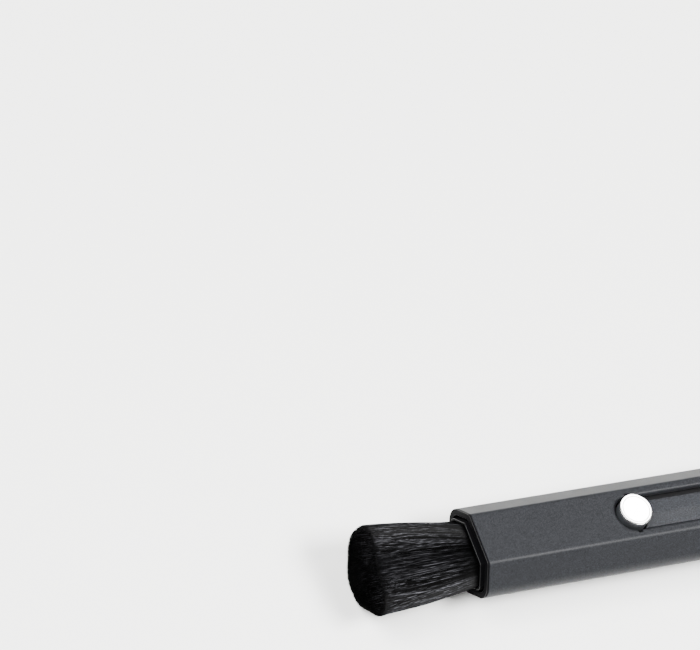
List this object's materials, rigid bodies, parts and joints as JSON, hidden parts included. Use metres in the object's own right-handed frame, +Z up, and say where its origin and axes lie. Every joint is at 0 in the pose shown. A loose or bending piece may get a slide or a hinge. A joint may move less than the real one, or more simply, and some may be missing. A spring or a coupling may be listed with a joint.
{
  "type": "lens cleaning pen",
  "caption": "Hexagonal lens cleaning pen with a slide-out soft brush worked by a thumb button, and a pull-off cap over a flexible carbon cleaning tip",
  "frame": {"origin": "on the surface the pen lies on, under the middle of its bounding box", "axes": "+X along the pen from the brush to the cap, +Y across the wide faces, +Z up through the button slot"},
  "size_m": [0.135, 0.0196, 0.0132],
  "materials": {
    "gunmetal": "fine matte",
    "black_moulding": "fine matte",
    "plate_grey": "fine matte",
    "polished_disc": "polished",
    "spring_steel": "bright drawn",
    "black_hair": "soft hair",
    "binding_resin": "cast resin",
    "black_elastomer": "matte",
    "carbon_chamois": "napped, dusted with carbon",
    "grey_foam": "open cell",
    "carbon_felt": "felt filled with carbon"
  },
  "bodies": {
    "barrel": {"barrel_shell": "gunmetal", "mouth_ring": "black_moulding", "tail_plug": "black_moulding", "tip_socket": "black_moulding", "tip_neck": "black_elastomer", "tip_head": "black_moulding", "tip_pad": "carbon_chamois"},
    "brush_slider": {"carriage": "black_moulding", "slider_plate": "plate_grey", "brush_ferrule": "black_moulding", "tuft_plug": "binding_resin", "brush_tuft": "black_hair", "detent_spring": "spring_steel", "button_spring": "spring_steel"},
    "button": {"button_drum": "black_moulding", "button_disc": "polished_disc", "lock_bar": "black_moulding", "button_screw": "spring_steel"},
    "cap": {"cap_shell": "gunmetal", "cap_insert": "black_moulding", "cap_end_plug": "black_moulding", "pad_cup": "black_moulding", "pad_foam": "grey_foam", "carbon_pad": "carbon_felt"}
  },
  "joints": [
    {"name": "brush_slide", "type": "slide", "parent": "barrel", "child": "brush_slider", "axis": [1, 0, 0], "range_m": [0, 0.0215], "deforming": ["brush_tuft"]},
    {"name": "button_press", "type": "slide", "parent": "brush_slider", "child": "button", "axis": [0, 0, -1], "range_m": [0, 0.0006], "stiffness_N_per_m": 800, "springref_m": -0.0005, "deforming": ["button_spring"]},
    {"name": "cap_pull", "type": "slide", "parent": "barrel", "child": "cap", "axis": [1, 0, 0], "range_m": [0, 0.038]}
  ]
}
